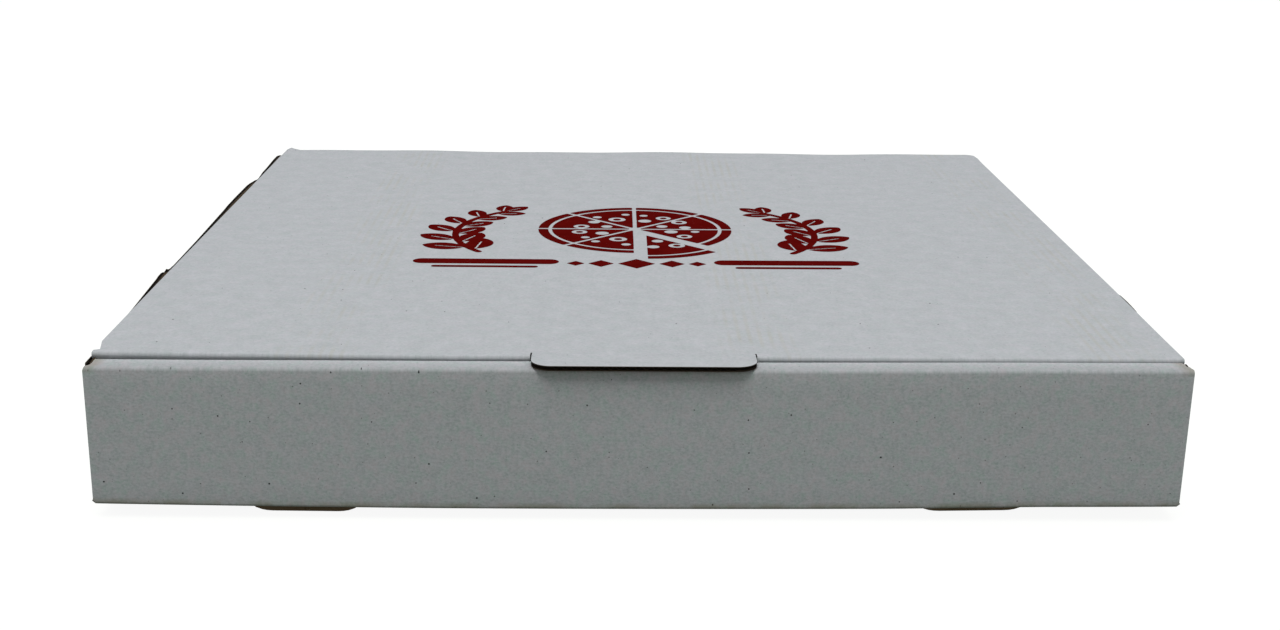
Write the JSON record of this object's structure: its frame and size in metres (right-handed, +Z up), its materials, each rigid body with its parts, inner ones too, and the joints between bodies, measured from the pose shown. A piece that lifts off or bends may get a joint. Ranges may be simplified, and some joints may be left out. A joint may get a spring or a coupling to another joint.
{
  "type": "pizza box",
  "caption": "Shallow square corrugated-board pizza box with a rolled front wall, a lid hinged on the back wall's crease, a tuck flap and a thumb tab over the front.",
  "frame": {"origin": "middle of the underside of the base", "axes": "+X to the right, +Y from the front wall to the hinge at the back, +Z up"},
  "size_m": [0.323, 0.3255, 0.0477],
  "materials": {
    "board": "matte, white-top liner"
  },
  "bodies": {
    "tray": {"tray": "board"},
    "lid": {"lid": "board"}
  },
  "joints": [
    {"name": "lid_hinge", "type": "hinge", "parent": "tray", "child": "lid", "pos_m": [0, 0.1615, 0.0438], "axis": [-1, 0, 0], "range_deg": [0, 178]}
  ]
}
